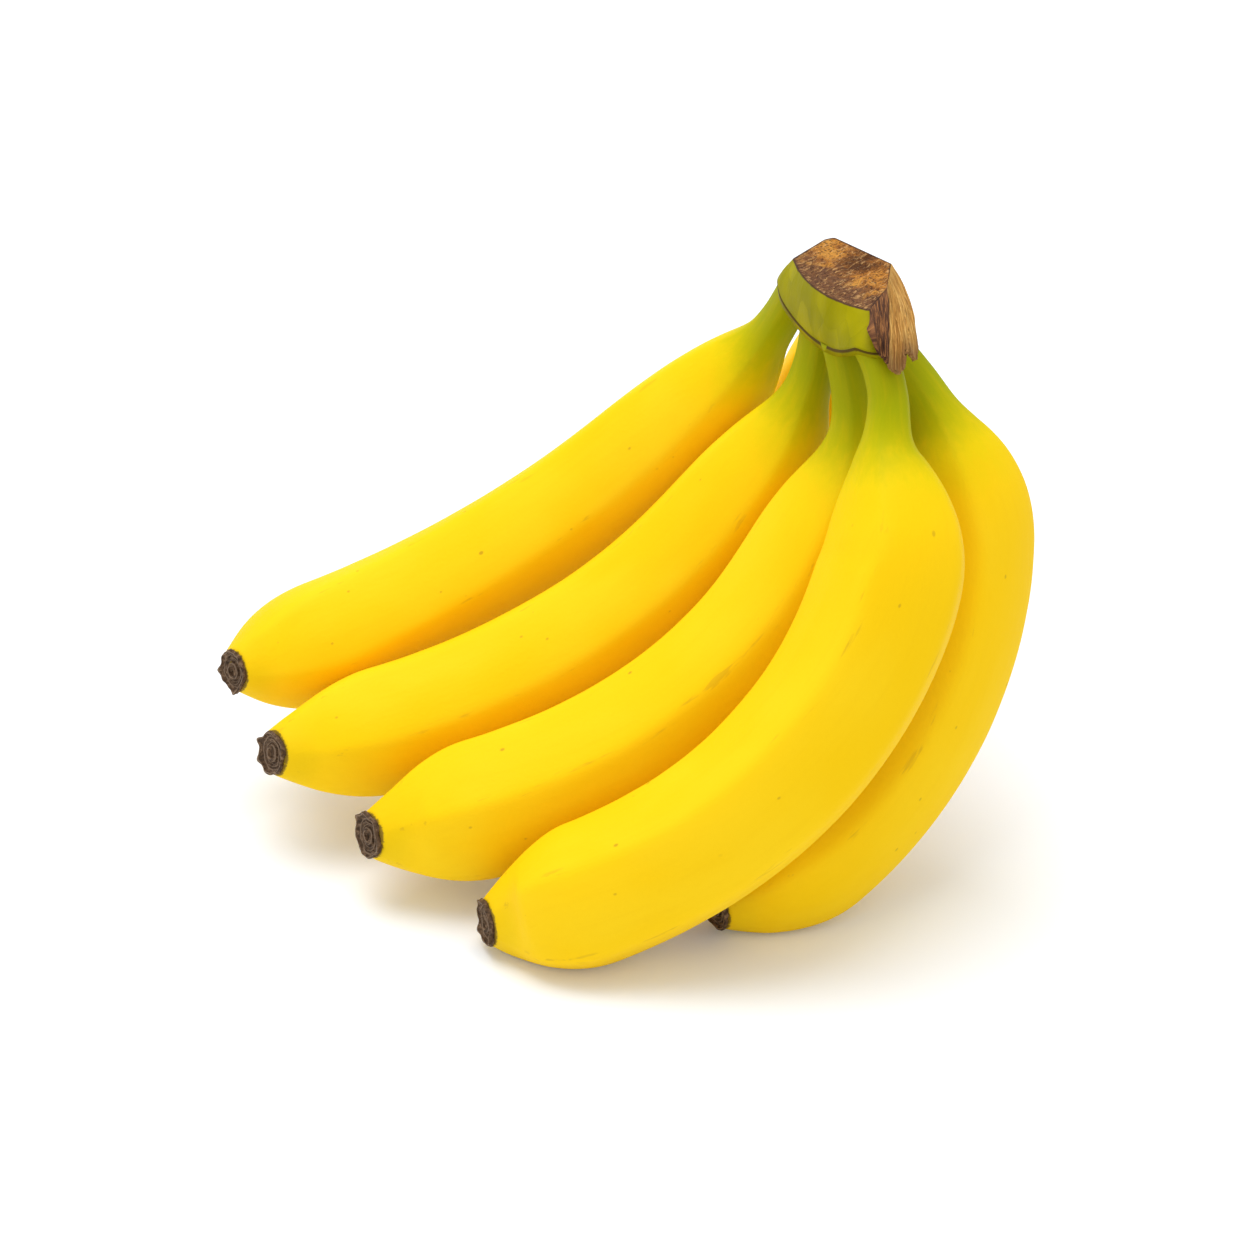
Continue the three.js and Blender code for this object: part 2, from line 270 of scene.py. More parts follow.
def underside_at(y):
    """Height of the crown's underside: a cylinder round the stalk axis, level past UNDERSIDE_REACH."""
    reach = np.minimum(np.abs(y), UNDERSIDE_REACH)
    return STALK_HEIGHT - np.sqrt(CROWN_RADIUS ** 2 - reach ** 2)


def peel_surface(finger, seed):
    """Rings round the centre line: ridged radius, slow waves, foot in the crown, slanted end, flat belly."""
    length = finger["length"]
    s = np.linspace(0, length - BLOSSOM_SINK, round(length / RING_STEP))
    angle = np.linspace(0, TURN, PEEL_SIDES, endpoint=False)
    centres, directions = centre_line(finger, s)
    across, upright = section_axes(finger, directions)
    phase = np.radians(finger["ridge"] + finger["twist"] * s / length)
    crest = pentagon(angle[None, :] - phase[:, None])
    grown = smooth_step((s - PEDICEL_LENGTH * BODY_FROM) / BODY_WITHIN)
    amount = (STEM_RIDGE + BODY_RIDGE * grown) * smooth_step((length - s + 6) / 16)
    radius = radius_at(finger, s)[:, None] * (1 + amount[:, None] * (crest - MEAN_CREST))
    run = np.stack(np.broadcast_arrays(s[:, None], radius * np.cos(angle), radius * np.sin(angle)), axis=-1)
    waves = 0.22 * soft_noise(run, 26, seed) + 0.05 * soft_noise(run, 7, seed + 1)
    radius = radius + grown[:, None] * waves
    spokes = np.cos(angle)[None, :, None] * across[:, None] + np.sin(angle)[None, :, None] * upright[:, None]
    rings = centres[:, None] + radius[..., None] * spokes
    facing = facing_of(finger, directions[-1])
    leaned = smooth_step((s - length + BLOSSOM_SINK + SLANT_LENGTH) / SLANT_LENGTH)
    slope = -leaned[:, None] * radius * (spokes @ facing) / (directions @ facing)[:, None]
    slide = slide_to_stalk(rings, directions[:, None], CROWN_RADIUS - ROOT_SINK)
    slide = slide * np.maximum(0, 1 - s / FOOT_LENGTH)[:, None]
    rings = rings + directions[:, None] * (slope + slide)[..., None]
    ceiling = np.minimum(underside_at(rings[..., 1]) + ROOT_LIFT, RIM_TOP - ROOT_BELOW_RIM)
    rings[..., 2] = np.minimum(rings[..., 2], ceiling)
    rings[..., 2] = np.maximum(rings[..., 2], HAND_CENTRE[2])
    return s, crest, run, rings


def make_peel(number, finger, finish):
    """One finger's skin, with its distances from both ends and its own stretch of the pattern."""
    s, crest, run, rings = peel_surface(finger, 10 * number)
    rows, columns = rings.shape[:2]
    first, last = rings[0].mean(axis=0), rings[-1].mean(axis=0)
    along = np.broadcast_to(s[:, None], (rows, columns))
    left = finger["length"] - along
    ridge = np.clip((crest - 0.85) / 0.15, 0, 1)
    offset = np.array([0, 60.0 * number, 0])
    fields = {
        "along": with_poles(along, 0, s[-1]) * MM,
        "left": with_poles(left, finger["length"], 0) * MM,
        "ridge": with_poles(ridge, 0, 0),
        "run": with_poles(run + offset, run[0].mean(axis=0) + offset, run[-1].mean(axis=0) + offset) * MM,
    }
    points = np.concatenate([rings.reshape(-1, 3), [first], [last]])
    piece = make_piece(f"peel_{number}", points, shell_faces(rows, columns), fields, [finish])
    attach(piece, "root")
    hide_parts(f"banana_{number}")


# ---------------------------------------------------------------- dried blossom ends

# The disc's profile from its edge to its middle: radius as a share of the whole, and height.
BLOSSOM_PROFILE = np.array([
    [0.80, -0.6], [0.95, -0.3], [1.03, 0.2], [1.05, 0.8], [1.00, 1.25], [0.93, 1.3], [0.87, 0.9],
    [0.80, 0.35], [0.72, 0.35], [0.65, 0.7], [0.59, 0.65], [0.53, 0.2], [0.46, 0.15], [0.41, 0.7], [0.35, 1.3],
    [0.28, 1.4], [0.22, 0.8], [0.15, 0.0], [0.07, -0.1],
])
BLOSSOM_SIDES = 72
BLOSSOM_ROWS = 60


def blossom_surface(seed):
    """A turned profile with a hollow nub, pushed out of round by waves and by three lumps on its rim."""
    rng = np.random.default_rng(seed)
    knots = np.linspace(0, 1, len(BLOSSOM_PROFILE))
    t = np.linspace(0, 1, BLOSSOM_ROWS)
    share = np.interp(t, knots, BLOSSOM_PROFILE[:, 0])
    height = np.interp(t, knots, BLOSSOM_PROFILE[:, 1])
    angle = np.linspace(0, TURN, BLOSSOM_SIDES, endpoint=False)
    flat = np.stack(np.broadcast_arrays(share[:, None] * np.cos(angle), share[:, None] * np.sin(angle),
                                        height[:, None] * 0.2), axis=-1) * BLOSSOM_RADIUS
    wave = 0.05 * np.sin(2 * angle + rng.uniform(0, TURN)) + 0.035 * np.sin(5 * angle + rng.uniform(0, TURN))
    lumps = np.sort(rng.uniform(0, TURN, 3) / 3 + np.arange(3) * TURN / 3)
    apart = np.abs((angle[:, None] - lumps + math.pi) % TURN - math.pi)
    bump = np.exp(-(apart / 0.2) ** 2).sum(axis=-1)
    rim = np.exp(-((share - 0.98) / 0.09) ** 2)[:, None]
    radius = BLOSSOM_RADIUS * share[:, None] * (1 + wave * share[:, None]) + 1.0 * rim * bump
    rough = soft_noise(flat, 1.6, seed + 1) * smooth_step(share * 4)[:, None]
    tall = height[:, None] + 0.5 * rim * bump + 0.3 * rough
    radius = radius + 0.22 * soft_noise(flat, 1.1, seed + 2) * share[:, None]
    return share, np.stack([radius * np.cos(angle), radius * np.sin(angle), tall], axis=-1)


def make_blossom(number, finger, finish):
    """One dried disc, set square on the way that its finger's end faces and rolled by its number."""
    share, shape = blossom_surface(100 + number)
    rows, columns = shape.shape[:2]
    ends, directions = centre_line(finger, np.array([finger["length"]]))
    facing = facing_of(finger, directions[0])
    across, upright = section_axes(finger, facing[None])
    roll = math.radians(40 * number)
    x = np.cos(roll) * across[0] + np.sin(roll) * upright[0]
    y = np.cross(facing, x)
    base = ends[0] - BLOSSOM_SINK * directions[0]
    points = with_poles(shape, [0, 0, -0.6], [0, 0, -0.1])
    placed = base + points[:, :1] * x + points[:, 1:2] * y + points[:, 2:] * facing
    fields = {"ring": with_poles(np.broadcast_to(share[:, None], (rows, columns)), 0, 0)}
    piece = make_piece(f"dried_blossom_{number}", placed, shell_faces(rows, columns), fields, [finish])
    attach(piece, "root")
    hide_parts(f"blossom_end_{number}")


# ---------------------------------------------------------------- crown

# Outlines are corners in X and Y, seen from above. Softness is how many columns to either side of
# its own a point of the outline is averaged over.
CUT_HEIGHT = 159.4
CROWN_MIDDLE = np.array([62.5, 6.0])
FLAP_CORNERS = np.array([[57, -18.8], [67.8, -6.8], [76.3, 8.9]])
CUT_OUTLINE = np.array([
    [54, 21.6], [52, 14], [51, 7.5], [50.6, 1], [51.2, -6], [53.4, -13], [55, -16.2],
    *FLAP_CORNERS, [70.7, 32.1], [67.8, 31.7],
])
RIM_OUTLINE = np.array([
    [51.6, 26.5], [49.8, 21], [50, 12], [50.5, 0], [51, -12], [50.4, -20], [51, -27.5], [54, -31.5],
    [58, -30.5], [61, -25.5], [65, -19.5], [71, -12.5], [76, -3], [79.5, 12], [80, 26], [76.5, 37],
    [68, 39.5], [59, 35.5],
])
CUT_SOFTNESS = 1
RIM_SOFTNESS = 9
CROWN_COLUMNS = 288
UNDERSIDE_SHARES = (0.15, 0.35, 0.55, 0.72, 0.85, 0.94, 0.985)
UNDERSIDE_BELOW_RIM = 1.5
BAND_ROWS = 60
BAND_STEEP = 9.0  # where the band leans in by less than this, it bulges
CUT_ROWS = 60
RIM_LIFT = 1.9


def outline_at(corners, angle, softness):
    """Distance from the crown's middle to a straight-sided outline, softened by a running mean."""
    closed = np.vstack([corners, corners[:1]])
    t = np.linspace(0, len(corners), 40 * len(corners), endpoint=False)
    knots = np.arange(len(closed))
    spokes = np.stack([np.interp(t, knots, closed[:, axis]) for axis in (0, 1)], axis=-1) - CROWN_MIDDLE
    turned = np.arctan2(spokes[:, 1], spokes[:, 0]) % TURN
    order = np.argsort(turned)
    reach = np.interp(angle, turned[order], np.linalg.norm(spokes, axis=-1)[order], period=TURN)
    offsets = np.arange(-softness, softness + 1)
    weights = np.exp(-2 * (offsets / (softness + 0.5)) ** 2)
    return sum(np.roll(reach, o) * w for o, w in zip(offsets, weights)) / weights.sum()


def make_crown(skin, cut):
    """Rings from the middle of the underside, out to the rim, up the green band and in over the cut face."""
    angle = np.linspace(0, TURN, CROWN_COLUMNS, endpoint=False)
    spoke = np.stack([np.cos(angle), np.sin(angle)], axis=-1)
    rim = CROWN_MIDDLE + spoke * outline_at(RIM_OUTLINE, angle, RIM_SOFTNESS)[:, None]
    edge = CROWN_MIDDLE + spoke * outline_at(CUT_OUTLINE, angle, CUT_SOFTNESS)[:, None]
    rings, level = [], []
    for share in UNDERSIDE_SHARES:
        xy = CROWN_MIDDLE + (rim - CROWN_MIDDLE) * share
        below = np.minimum(underside_at(xy[:, 1]), RIM_TOP - UNDERSIDE_BELOW_RIM)
        rings.append(np.column_stack([xy, below]))
        level.append(share - 1)
    rise = np.minimum(underside_at(rim[:, 1]) + RIM_LIFT, RIM_TOP)
    near = np.clip(1 - np.linalg.norm(rim - edge, axis=-1) / BAND_STEEP, 0, 1)
    for f in np.linspace(0, 1, BAND_ROWS):
        bulge = 0.9 * near * math.sin(math.pi * f ** 0.8) - 0.3 * math.exp(-((f - 0.02) / 0.014) ** 2)
        xy = rim + (edge - rim) * f + spoke * bulge[:, None]
        ring = np.column_stack([xy, rise + (CUT_HEIGHT - rise) * f])
        facets = 0.45 * soft_noise(ring * [1, 1, 0.7], 6.5, 5) * math.sin(math.pi * f)
        ring[:, :2] += spoke * facets[:, None]
        rings.append(ring)
        level.append(f)
    for share in np.linspace(0.985, 0.03, CUT_ROWS):
        xy = CROWN_MIDDLE + (edge - CROWN_MIDDLE) * share
        flat = np.column_stack([xy, np.zeros(len(xy))])
        rough = (0.30 * soft_noise(flat * [1.0, 0.45, 1], 2.6, 7)
                 + 0.25 * soft_noise(flat * [1.6, 0.8, 1], 1.2, 8)
                 + 0.35 * soft_noise(flat, 9, 9))
        dip = 0.7 * smooth_step((1 - share) / 0.3)
        z = CUT_HEIGHT + rough * smooth_step((1 - share) / 0.08) - dip
        rings.append(np.column_stack([xy, z]))
        level.append(2 - share)
    rings = np.stack(rings)
    rows = len(rings)
    first = [*CROWN_MIDDLE, underside_at(CROWN_MIDDLE[1])]
    last = [*CROWN_MIDDLE, rings[-1][:, 2].mean()]
    levels = np.broadcast_to(np.array(level)[:, None], (rows, CROWN_COLUMNS))
    faces = shell_faces(rows, CROWN_COLUMNS)
    band_end = len(UNDERSIDE_SHARES) + BAND_ROWS - 1
    is_cut = np.zeros(len(faces), int)
    is_cut[band_end * CROWN_COLUMNS:(rows - 1) * CROWN_COLUMNS] = 1
    is_cut[-CROWN_COLUMNS:] = 1
    piece = make_piece("crown_cushion", with_poles(rings, first, last), faces,
                       {"level": with_poles(levels, -1, 2)}, [skin, cut], is_cut)
    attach(piece, "root")
    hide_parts("crown")


# The torn flap hangs from the cut edge between FLAP_CORNERS. Each row is a share along it and the
# place of its torn end there. FOLD is the share of the corner between its dark and its light face.
FLAP_END = np.array([
    [0.00, 53.5, -31.5, 154.0], [0.12, 54.2, -32.0, 153.0], [0.24, 55.0, -33.0, 152.2],
    [0.34, 55.7, -33.5, 151.0], [0.42, 56.5, -33.5, 149.3], [0.52, 58.5, -33.5, 148.0],
    [0.58, 59.7, -33.0, 149.0], [0.62, 60.5, -32.0, 151.4], [0.68, 61.7, -31.0, 152.6],
    [0.76, 63.4, -30.0, 151.0], [0.86, 66.0, -28.0, 148.0], [0.92, 67.3, -26.0, 148.6],
    [1.00, 69.4, -22.0, 149.4],
])
FOLD = 0.34
FLAP_ARCH = 4.0  # how far its middle stands towards FRONT
FLAP_LEAN = 1.5  # and its far edge towards ASIDE
FLAP_THICKNESS = 3.4
FLAP_THINNING = 2.6  # how much of the thickness is gone at the torn end
FLAP_COLUMNS = 150
FLAP_ROWS = 70


def make_flap(finish):
    """A ruled sheet from the cut edge to its torn end, grooved along its fibres, thick on its inner side."""
    u = np.linspace(0, 1, FLAP_COLUMNS)
    v = np.linspace(0, 1, FLAP_ROWS)
    top = np.stack([np.interp(u, [0, FOLD, 1], FLAP_CORNERS[:, axis]) for axis in (0, 1)]
                   + [np.full_like(u, CUT_HEIGHT + 0.1)], axis=-1)
    end = np.stack([np.interp(u, FLAP_END[:, 0], FLAP_END[:, k]) for k in (1, 2, 3)], axis=-1)
    fibre = np.stack([u * 40, np.zeros_like(u), np.zeros_like(u)], axis=-1)
    end[:, 2] += 0.3 * soft_noise(fibre, 0.8, 21)
    sheet = top[None] + (end - top)[None] * v[:, None, None]
    arch = np.sin(math.pi * v)[:, None, None]
    sheet = sheet + arch * (FRONT * FLAP_ARCH * (1 - 0.4 * u)[None, :, None]
                            + ASIDE * FLAP_LEAN * (u ** 2)[None, :, None])
    along_u, along_v = np.gradient(sheet, axis=1), np.gradient(sheet, axis=0)
    outward = unit(np.cross(along_v, along_u) + 1e-9)
    lattice = np.stack(np.broadcast_arrays(u[None] * 42, v[:, None] * 5, 0 * u[None]), axis=-1)
    groove = 0.32 * soft_noise(lattice, 1.0, 22) + 0.2 * soft_noise(lattice * [2.4, 1.5, 1], 1.0, 23)
    hang = smooth_step(v * 4)[:, None]
    held = hang * smooth_step(u / 0.08)[None]
    outer = sheet + outward * (groove * held)[..., None]
    inner = sheet - outward * (FLAP_THICKNESS - FLAP_THINNING * v)[:, None, None]
    n = FLAP_ROWS * FLAP_COLUMNS
    i = np.arange(n).reshape(FLAP_ROWS, FLAP_COLUMNS)
    a, b, c, d = i[:-1, :-1], i[1:, :-1], i[1:, 1:], i[:-1, 1:]
    front = np.stack([a, b, c, d], axis=-1).reshape(-1, 4)
    back = np.stack([a, d, c, b], axis=-1).reshape(-1, 4) + n
    border = np.concatenate([i[:-1, 0], i[-1, :-1], i[:0:-1, -1], i[0, :0:-1]])
    after = np.roll(border, -1)
    edge = np.stack([border, border + n, after + n, after], axis=-1)
    faces = np.concatenate([front, back, edge]).tolist()
    points = np.concatenate([outer.reshape(-1, 3), inner.reshape(-1, 3)])
    strand = np.stack(np.broadcast_arrays(u[None], v[:, None], 0 * u[None]), axis=-1).reshape(-1, 3)
    piece = make_piece("torn_flap", points, faces, {"strand": np.concatenate([strand, strand])}, [finish])
    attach(piece, "root")


# ---------------------------------------------------------------- finishes

class Value:
    """One output of a node, with arithmetic that adds Math nodes."""

    def __init__(self, finish, socket):
        self.finish = finish
        self.socket = socket

    def __add__(self, other):
        return self.finish.math("ADD", self, other)

    def __sub__(self, other):
        return self.finish.math("SUBTRACT", self, other)

    def __rsub__(self, other):
        return self.finish.math("SUBTRACT", other, self)

    def __mul__(self, other):
        return self.finish.math("MULTIPLY", self, other)

    __radd__ = __add__
    __rmul__ = __mul__


class Finish:
    """A Principled material. Numbers in constants go on the shader's own sockets."""

    def __init__(self, name, **constants):
        self.material = bpy.data.materials.new(name)
        self.material.use_nodes = True
        self.nodes = self.material.node_tree.nodes
        self.links = self.material.node_tree.links
        self.shader = next(n for n in self.nodes if n.type == "BSDF_PRINCIPLED")
        for socket, value in constants.items():
            self.shader.inputs[socket.replace("_", " ").title().replace("Ior", "IOR")].default_value = value

    def node(self, kind, inputs=(), output=0, **settings):
        """Adds a node: settings first, then the values or links of its sockets, by name or number."""
        node = self.nodes.new("ShaderNode" + kind)
        for setting, value in settings.items():
            if setting == "stops":
                self.fill_ramp(node.color_ramp, value)
            else:
                setattr(node, setting, value)
        for socket, value in dict(inputs).items():
            self.feed(node.inputs[socket], value)
        return Value(self, node.outputs[output])

    def feed(self, socket, value):
        if isinstance(value, Value):
            self.links.new(value.socket, socket)
        else:
            socket.default_value = value

    def fill_ramp(self, ramp, stops):
        while len(ramp.elements) < len(stops):
            ramp.elements.new(0.5)
        for element, (position, colour) in zip(ramp.elements, stops):
            element.position = position
            element.color = (*colour, 1)

    def math(self, operation, a, b=0.0, clamp=False):
        return self.node("Math", {0: a, 1: b}, operation=operation, use_clamp=clamp)

    def field(self, name, output="Fac"):
        return self.node("Attribute", output=output, attribute_name=name)

    def stretch(self, vector, scale):
        return self.node("VectorMath", {0: vector, 1: scale}, operation="MULTIPLY")

    def place(self):
        return self.node("TexCoord", output="Object")

    def noise(self, vector, detail=2.0, roughness=0.5, distortion=0.0):
        return self.node("TexNoise", {"Vector": vector, "Scale": 1.0, "Detail": detail,
                                      "Roughness": roughness, "Distortion": distortion})

    def between(self, value, low, high, start=0.0, end=1.0):
        """start below low, end above high, and eased between."""
        return self.node("MapRange", {"Value": value, 1: low, 2: high, 3: start, 4: end},
                         interpolation_type="SMOOTHSTEP")

    def ramp(self, value, stops):
        return self.node("ValToRGB", {0: value}, stops=stops)

    def blend(self, share, a, b):
        """a where share is 0, b where it is 1."""
        def colour(c):
            return (*c, 1) if isinstance(c, tuple) else c
        return self.node("Mix", {0: share, 6: colour(a), 7: colour(b)}, output=2,
                         data_type="RGBA", clamp_factor=True)

    def wear(self, **values):
        """Feeds what varies: base_color, roughness, and a height with its distance for the bump."""
        for socket, value in values.items():
            if socket == "height":
                height, distance = value
                bump = self.node("Bump", {"Height": height, "Distance": distance, "Strength": 1.0})
                self.feed(self.shader.inputs["Normal"], bump)
            else:
                self.feed(self.shader.inputs[socket.replace("_", " ").title()], value)
        return self.material


def peel_finish():
    """Green by the stem, faintly so at the tip, yellow between: specks, rubbed ridges and a scar line."""
    f = Finish("ripe_peel", ior=1.42, specular_ior_level=0.08)
    run = f.field("run", "Vector")
    along, left, ridge = f.field("along"), f.field("left"), f.field("ridge")
    patches = f.noise(f.stretch(run, (22, 48, 48)), 2, 0.5)
    streaks = f.noise(f.stretch(run, (40, 520, 520)), 3, 0.6)
    fine = f.noise(f.stretch(run, (700, 1000, 1000)), 2, 0.6)
    reach = along + (patches - 0.5) * 0.010 + (streaks - 0.5) * 0.005 - ridge * 0.0015
    skin = f.ramp(f.math("DIVIDE", reach, 0.046, clamp=True), [
        (0.0, (0.31, 0.32, 0.001)),
        (0.22, (0.36, 0.375, 0.001)),
        (0.42, (0.50, 0.45, 0.001)),
        (0.62, (0.78, 0.575, 0.002)),
        (0.85, (0.92, 0.595, 0.003)),
        (1.0, (0.93, 0.585, 0.003)),
    ])
    body = f.between(along, 0.03, 0.05)
    warm = f.blend(f.between(patches, 0.35, 0.7, 0.0, 0.55), skin, (0.95, 0.64, 0.012))
    skin = f.blend(body, skin, warm)
    skin = f.blend(f.between(streaks, 0.45, 0.8, 0.0, 0.14), skin, (0.84, 0.50, 0.004))
    green_tip = f.between(left + (patches - 0.5) * 0.006, 0.002, 0.010, 0.16, 0.0)
    skin = f.blend(green_tip, skin, (0.45, 0.40, 0.004))
    for density, chance_low, size, strength in ((70, 0.74, 0.075, 0.55), (150, 0.82, 0.11, 0.4)):
        cells = f.stretch(run, (density, density * 1.5, density * 1.5))
        near = f.node("TexVoronoi", {"Vector": cells, "Scale": 1.0}, output=0)
        chance = f.node("SeparateColor", {0: f.node("TexVoronoi", {"Vector": cells, "Scale": 1.0}, output=1)})
        rare = f.between(chance, chance_low, chance_low + 0.05)
        speck = f.between(near, size * 0.4, size, 1.0, 0.0) * rare * body
        skin = f.blend(speck * strength, skin, (0.36, 0.19, 0.015))
    rubbed = f.noise(f.stretch(run, (60, 420, 420)), 3, 0.6)
    scuff = f.between(rubbed, 0.60, 0.70) * f.between(ridge, 0.72, 0.95) * body
    skin = f.blend(scuff * 0.30, skin, (0.45, 0.23, 0.015))
    scar = f.between(left + (fine - 0.5) * 0.001, 0.0002, 0.0006, 1.0, 0.0)
    skin = f.blend(scar * 0.8, skin, (0.12, 0.065, 0.02))
    height = fine * 0.35 + streaks * 0.25 + patches * 1.2
    return f.wear(base_color=skin, roughness=0.50 + fine * 0.10 + (streaks - 0.5) * 0.08,
                  height=(height, 0.00018))


def crown_skin_finish():
    """Blotched green, with a brown line where it meets the pedicels and another under the cut face."""
    f = Finish("crown_skin", ior=1.42, specular_ior_level=0.05)
    place = f.place()
    level = f.field("level")
    broad = f.noise(f.stretch(place, (110, 110, 80)), 1, 0.4)
    blocks = f.node("TexVoronoi", {"Vector": f.stretch(place, (130, 130, 80)), "Scale": 1.0}, output=1)
    block = f.node("SeparateColor", {0: blocks})
    fine = f.noise(f.stretch(place, (700, 700, 380)), 3, 0.6)
    tone = broad * 0.8 + block * 0.2
    skin = f.ramp(tone, [(0.25, (0.21, 0.20, 0.001)), (0.5, (0.29, 0.26, 0.001)),
                         (0.75, (0.38, 0.33, 0.002))])
    skin = f.blend(f.between(fine, 0.55, 0.85, 0.0, 0.25), skin, (0.22, 0.19, 0.004))
    rim = f.between(level + (fine - 0.5) * 0.010, 0.003, 0.011, 1.0, 0.0)
    rim = rim * f.between(level, -0.008, -0.004, 0.15, 1.0)
    edge = f.between(level + (fine - 0.5) * 0.03, 0.965, 0.99)
    skin = f.blend(rim * 0.9, skin, (0.060, 0.028, 0.006))
    skin = f.blend(edge, skin, (0.10, 0.05, 0.02))
    return f.wear(base_color=skin, roughness=0.40 + fine * 0.2, height=(fine * 0.4 + block * 0.6, 0.0003))


def cut_face_finish():
    """Dried brown and ochre, crossed by pale fibres and dark pits, darkest along the lip."""
    f = Finish("dried_cut", ior=1.4, specular_ior_level=0.2)
    place = f.place()
    turned = f.node("Mapping", {"Vector": place, "Rotation": (0, 0, math.radians(-28))})
    level = f.field("level")
    broad = f.noise(f.stretch(place, (110, 110, 110)), 3, 0.6, 0.6)
    fibres = f.noise(f.stretch(turned, (260, 1300, 600)), 4, 0.7, 0.8)
    grain = f.noise(f.stretch(place, (1300, 1300, 1300)), 3, 0.7)
    flat = f.ramp(broad, [(0.36, (0.13, 0.048, 0.014)), (0.46, (0.34, 0.125, 0.024)),
                          (0.54, (0.56, 0.22, 0.034)), (0.64, (0.74, 0.34, 0.060))])
    x = f.node("SeparateXYZ", {0: place}, output=0)
    y = f.node("SeparateXYZ", {0: place}, output=1)
    side = x + (broad - 0.5) * 0.020 + y * 0.12
    near = f.between(side, 0.058, 0.050, 0.0, 0.9)
    flat = f.blend(near, flat, (0.19, 0.085, 0.042))
    flat = f.blend(f.between(fibres, 0.53, 0.62, 0.0, 0.75), flat, (0.74, 0.42, 0.16))
    flat = f.blend(f.between(grain, 0.48, 0.40, 0.0, 0.75), flat, (0.055, 0.022, 0.012))
    lip = f.between(level, 1.045, 1.015)
    flat = f.blend(lip * 0.8, flat, (0.06, 0.030, 0.022))
    return f.wear(base_color=flat, roughness=0.75 + grain * 0.2,
                  height=(fibres * 1.2 + grain * 0.8, 0.0011))


def flap_finish():
    """Streaks along the fibres: dark before the fold, tan after it, and browner at the torn end."""
    f = Finish("torn_fibre", ior=1.4, specular_ior_level=0.2)
    strand = f.field("strand", "Vector")
    across = f.node("SeparateXYZ", {0: strand}, output=0)
    down = f.node("SeparateXYZ", {0: strand}, output=1)
    lines = f.noise(f.stretch(strand, (60, 3.0, 1)), 4, 0.65, 0.5)
    blots = f.noise(f.stretch(strand, (14, 3.5, 1)), 3, 0.6)
    tan = f.ramp(lines, [(0.34, (0.32, 0.13, 0.025)), (0.5, (0.62, 0.33, 0.08)),
                         (0.64, (0.80, 0.50, 0.15))])
    tan = f.blend(f.between(blots, 0.56, 0.72, 0.0, 0.75), tan, (0.28, 0.10, 0.02))
    tan = f.blend(f.between(down, 0.72, 0.99, 0.0, 0.65), tan, (0.16, 0.07, 0.03))
    dark = f.ramp(lines, [(0.36, (0.04, 0.018, 0.012)), (0.5, (0.13, 0.052, 0.024)),
                          (0.62, (0.40, 0.17, 0.055))])
    colour = f.blend(f.between(across + (lines - 0.5) * 0.05, FOLD - 0.02, FOLD + 0.02), dark, tan)
    return f.wear(base_color=colour, roughness=0.7 + lines * 0.2, height=(lines, 0.0008))


def blossom_finish():
    """Near-black wood grain in faint rings, with a dark middle."""
    f = Finish("dried_blossom", ior=1.4, specular_ior_level=0.3)
    ring = f.field("ring")
    place = f.place()
    grain = f.noise(f.stretch(place, (900, 900, 900)), 4, 0.65)
    patches = f.noise(f.stretch(place, (260, 260, 260)), 2, 0.5)
    bands = f.node("Math", {0: ring * 46.0 + patches * 4.0}, operation="SINE")
    wood = f.ramp(grain, [(0.3, (0.030, 0.016, 0.007)), (0.5, (0.100, 0.055, 0.027)),
                          (0.68, (0.27, 0.17, 0.10))])
    wood = f.blend(f.between(bands, 0.45, 0.95, 0.0, 0.6), wood, (0.33, 0.23, 0.155))
    wood = f.blend(f.between(ring, 0.20, 0.10), wood, (0.012, 0.007, 0.006))
    return f.wear(base_color=wood, roughness=0.62 + grain * 0.25,
                  height=(grain * 0.8 + bands * 0.25, 0.0005))


# ---------------------------------------------------------------- making it

peel = peel_finish()
dried = blossom_finish()
for number, finger in enumerate(FINGERS, 1):
    make_peel(number, finger, peel)
    make_blossom(number, finger, dried)
make_crown(crown_skin_finish(), cut_face_finish())
make_flap(flap_finish())

# ---------------------------------------------------------------- floor, light and camera

TARGET = Vector((-0.0057639, -0.020313, 0.07033))
AZIMUTH = math.radians(-21.5)
ELEVATION = math.radians(27)
DISTANCE = 0.874
LENS = 95.6
SENSOR_WIDTH = 36
FLOOR_REACH = 4
WORLD_STRENGTH = 0.74

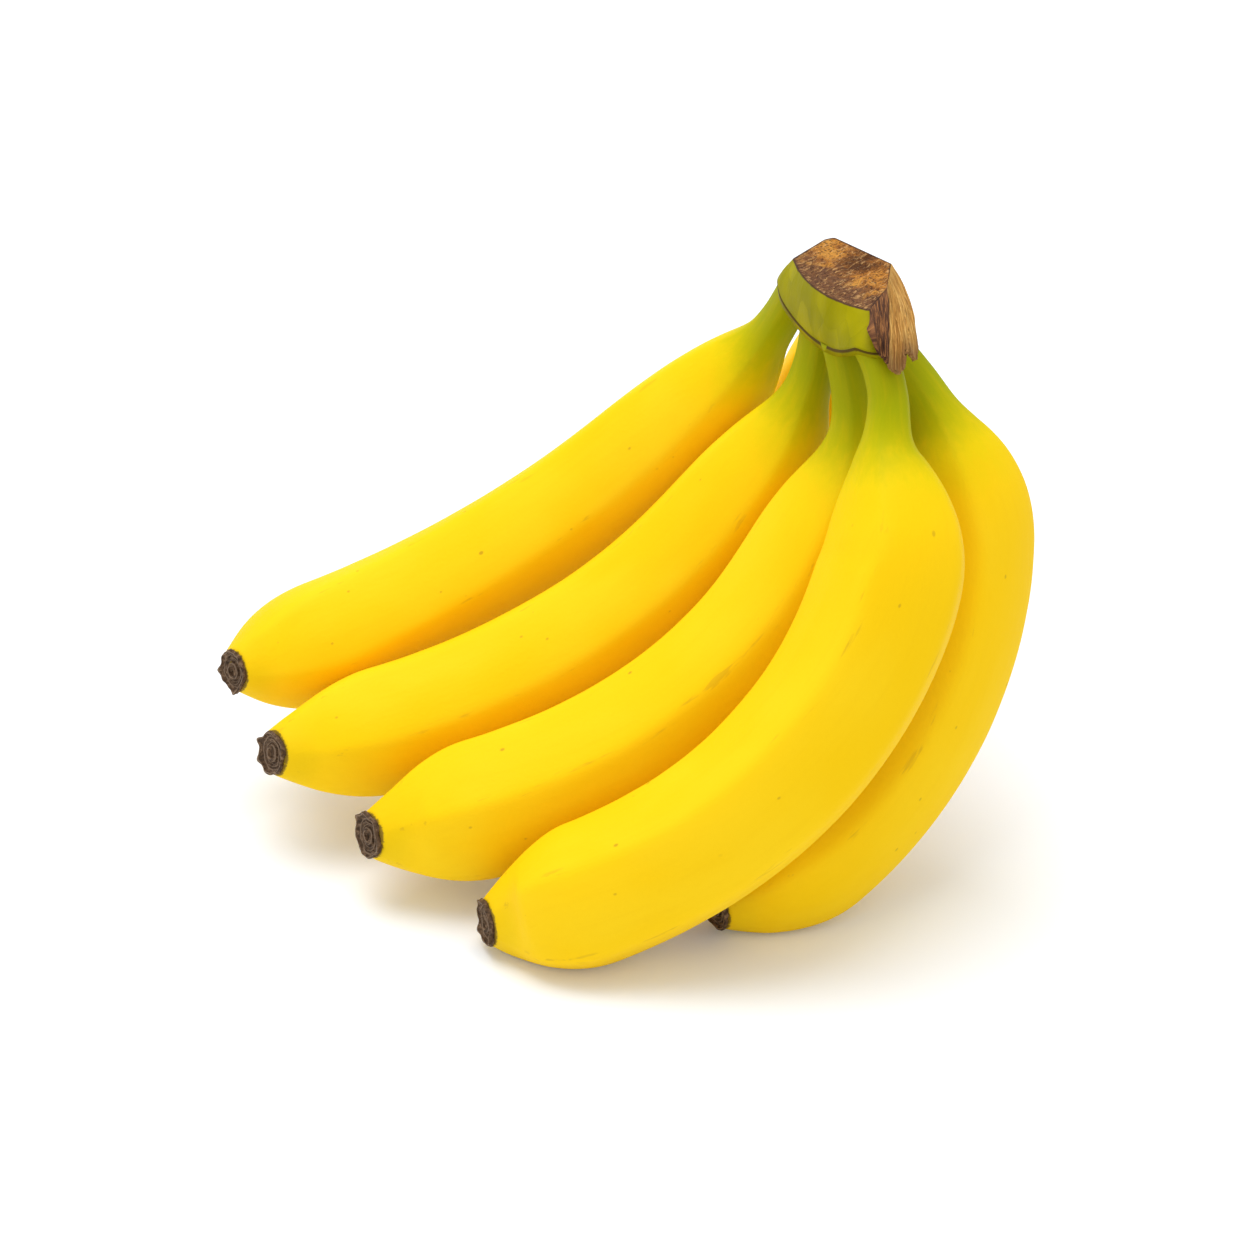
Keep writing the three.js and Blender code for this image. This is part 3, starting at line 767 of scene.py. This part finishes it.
back = Vector((math.sin(AZIMUTH) * math.cos(ELEVATION),
               -math.cos(AZIMUTH) * math.cos(ELEVATION),
               math.sin(ELEVATION)))
right = Vector((math.cos(AZIMUTH), math.sin(AZIMUTH), 0))

camera = bpy.data.objects.new("camera", bpy.data.cameras.new("camera"))
camera.data.lens = LENS
camera.data.sensor_width = SENSOR_WIDTH
camera.location = TARGET + back * DISTANCE
camera.rotation_mode = "QUATERNION"
camera.rotation_quaternion = (-back).to_track_quat("-Z", "Y")
camera.data.clip_start = 0.05
camera.data.clip_end = 20
bpy.context.scene.collection.objects.link(camera)
bpy.context.scene.camera = camera

floor_mesh = bpy.data.meshes.new("floor")
floor_corners = [(x * FLOOR_REACH, y * FLOOR_REACH, 0) for x, y in ((-1, -1), (1, -1), (1, 1), (-1, 1))]
floor_mesh.from_pydata(floor_corners, [], [(0, 1, 2, 3)])
floor = bpy.data.objects.new("floor", floor_mesh)
bpy.context.scene.collection.objects.link(floor)
floor_finish = Finish("pale_floor", roughness=0.9, specular_ior_level=0.1, base_color=(0.90, 0.93, 0.96, 1),
                      emission_color=(0.4, 0.55, 0.9, 1), emission_strength=0.09)
floor_mesh.materials.append(floor_finish.material)


def soft_box(name, direction, distance, size, power):
    """A square area light that faces the hand from a direction."""
    light = bpy.data.lights.new(name, "AREA")
    light.shape = "SQUARE"
    light.size = size
    light.energy = power
    lamp = bpy.data.objects.new(name, light)
    away = direction.normalized()
    lamp.location = TARGET + away * distance
    lamp.rotation_mode = "QUATERNION"
    lamp.rotation_quaternion = (-away).to_track_quat("-Z", "Y")
    bpy.context.scene.collection.objects.link(lamp)


level_back = Vector((back.x, back.y, 0)).normalized()
up = Vector((0, 0, 1))
soft_box("key", -right * 0.2 + up * 1.5 - level_back * 0.2, 1.3, 1.2, 15)
soft_box("fill", right * 1.0 + up * 0.7 + level_back * 0.5, 1.5, 0.9, 0.8)

world = bpy.data.worlds.new("studio")
world.use_nodes = True
world.node_tree.nodes["Background"].inputs["Color"].default_value = (1, 1, 1, 1)
world.node_tree.nodes["Background"].inputs["Strength"].default_value = WORLD_STRENGTH
bpy.context.scene.world = world
bpy.context.scene.view_settings.view_transform = "Standard"
